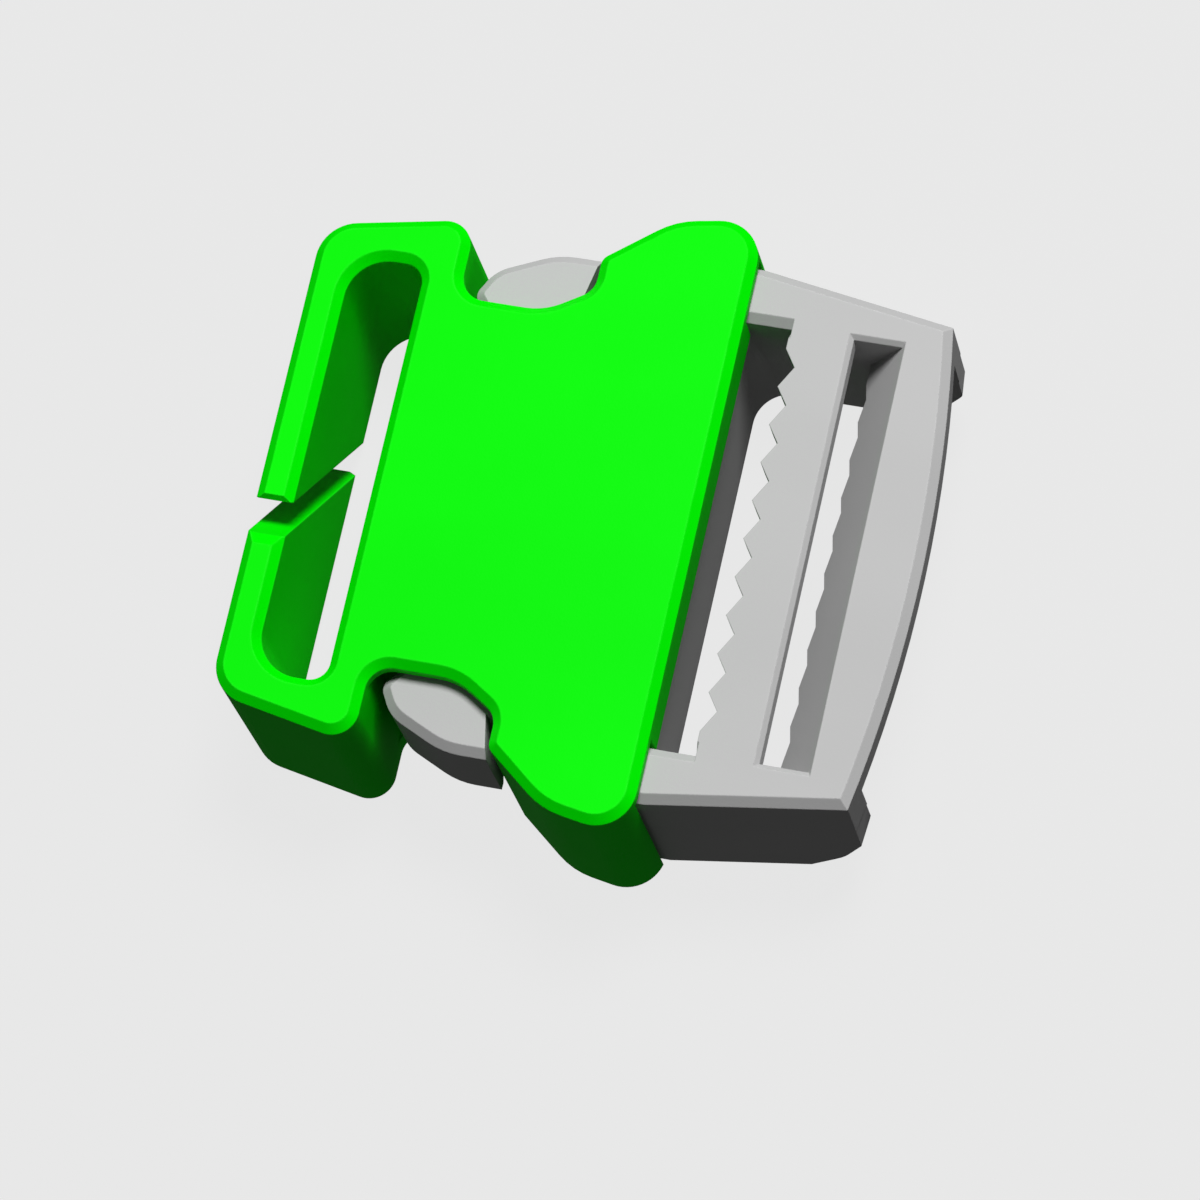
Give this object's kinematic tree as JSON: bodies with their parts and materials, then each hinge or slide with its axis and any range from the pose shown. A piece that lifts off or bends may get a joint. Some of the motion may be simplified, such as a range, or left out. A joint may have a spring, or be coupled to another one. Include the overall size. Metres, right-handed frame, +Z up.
{
  "type": "side release buckle",
  "caption": "Closed side release buckle: a flat hollow socket with a split webbing bar, and a ladder-frame plug with toothed bars whose sprung prongs show in the side windows.",
  "frame": {"origin": "on the underside, below the middle of the bounding box", "axes": "+X from the socket's webbing bar to the plug's outer bar, Y across the buckle, +Z up out of the top face"},
  "size_m": [0.04, 0.0382, 0.0139],
  "materials": {
    "green_plastic": "moulded, satin",
    "grey_plastic": "moulded, satin"
  },
  "bodies": {
    "root": {"socket": "green_plastic", "plug": "grey_plastic"}
  },
  "joints": []
}
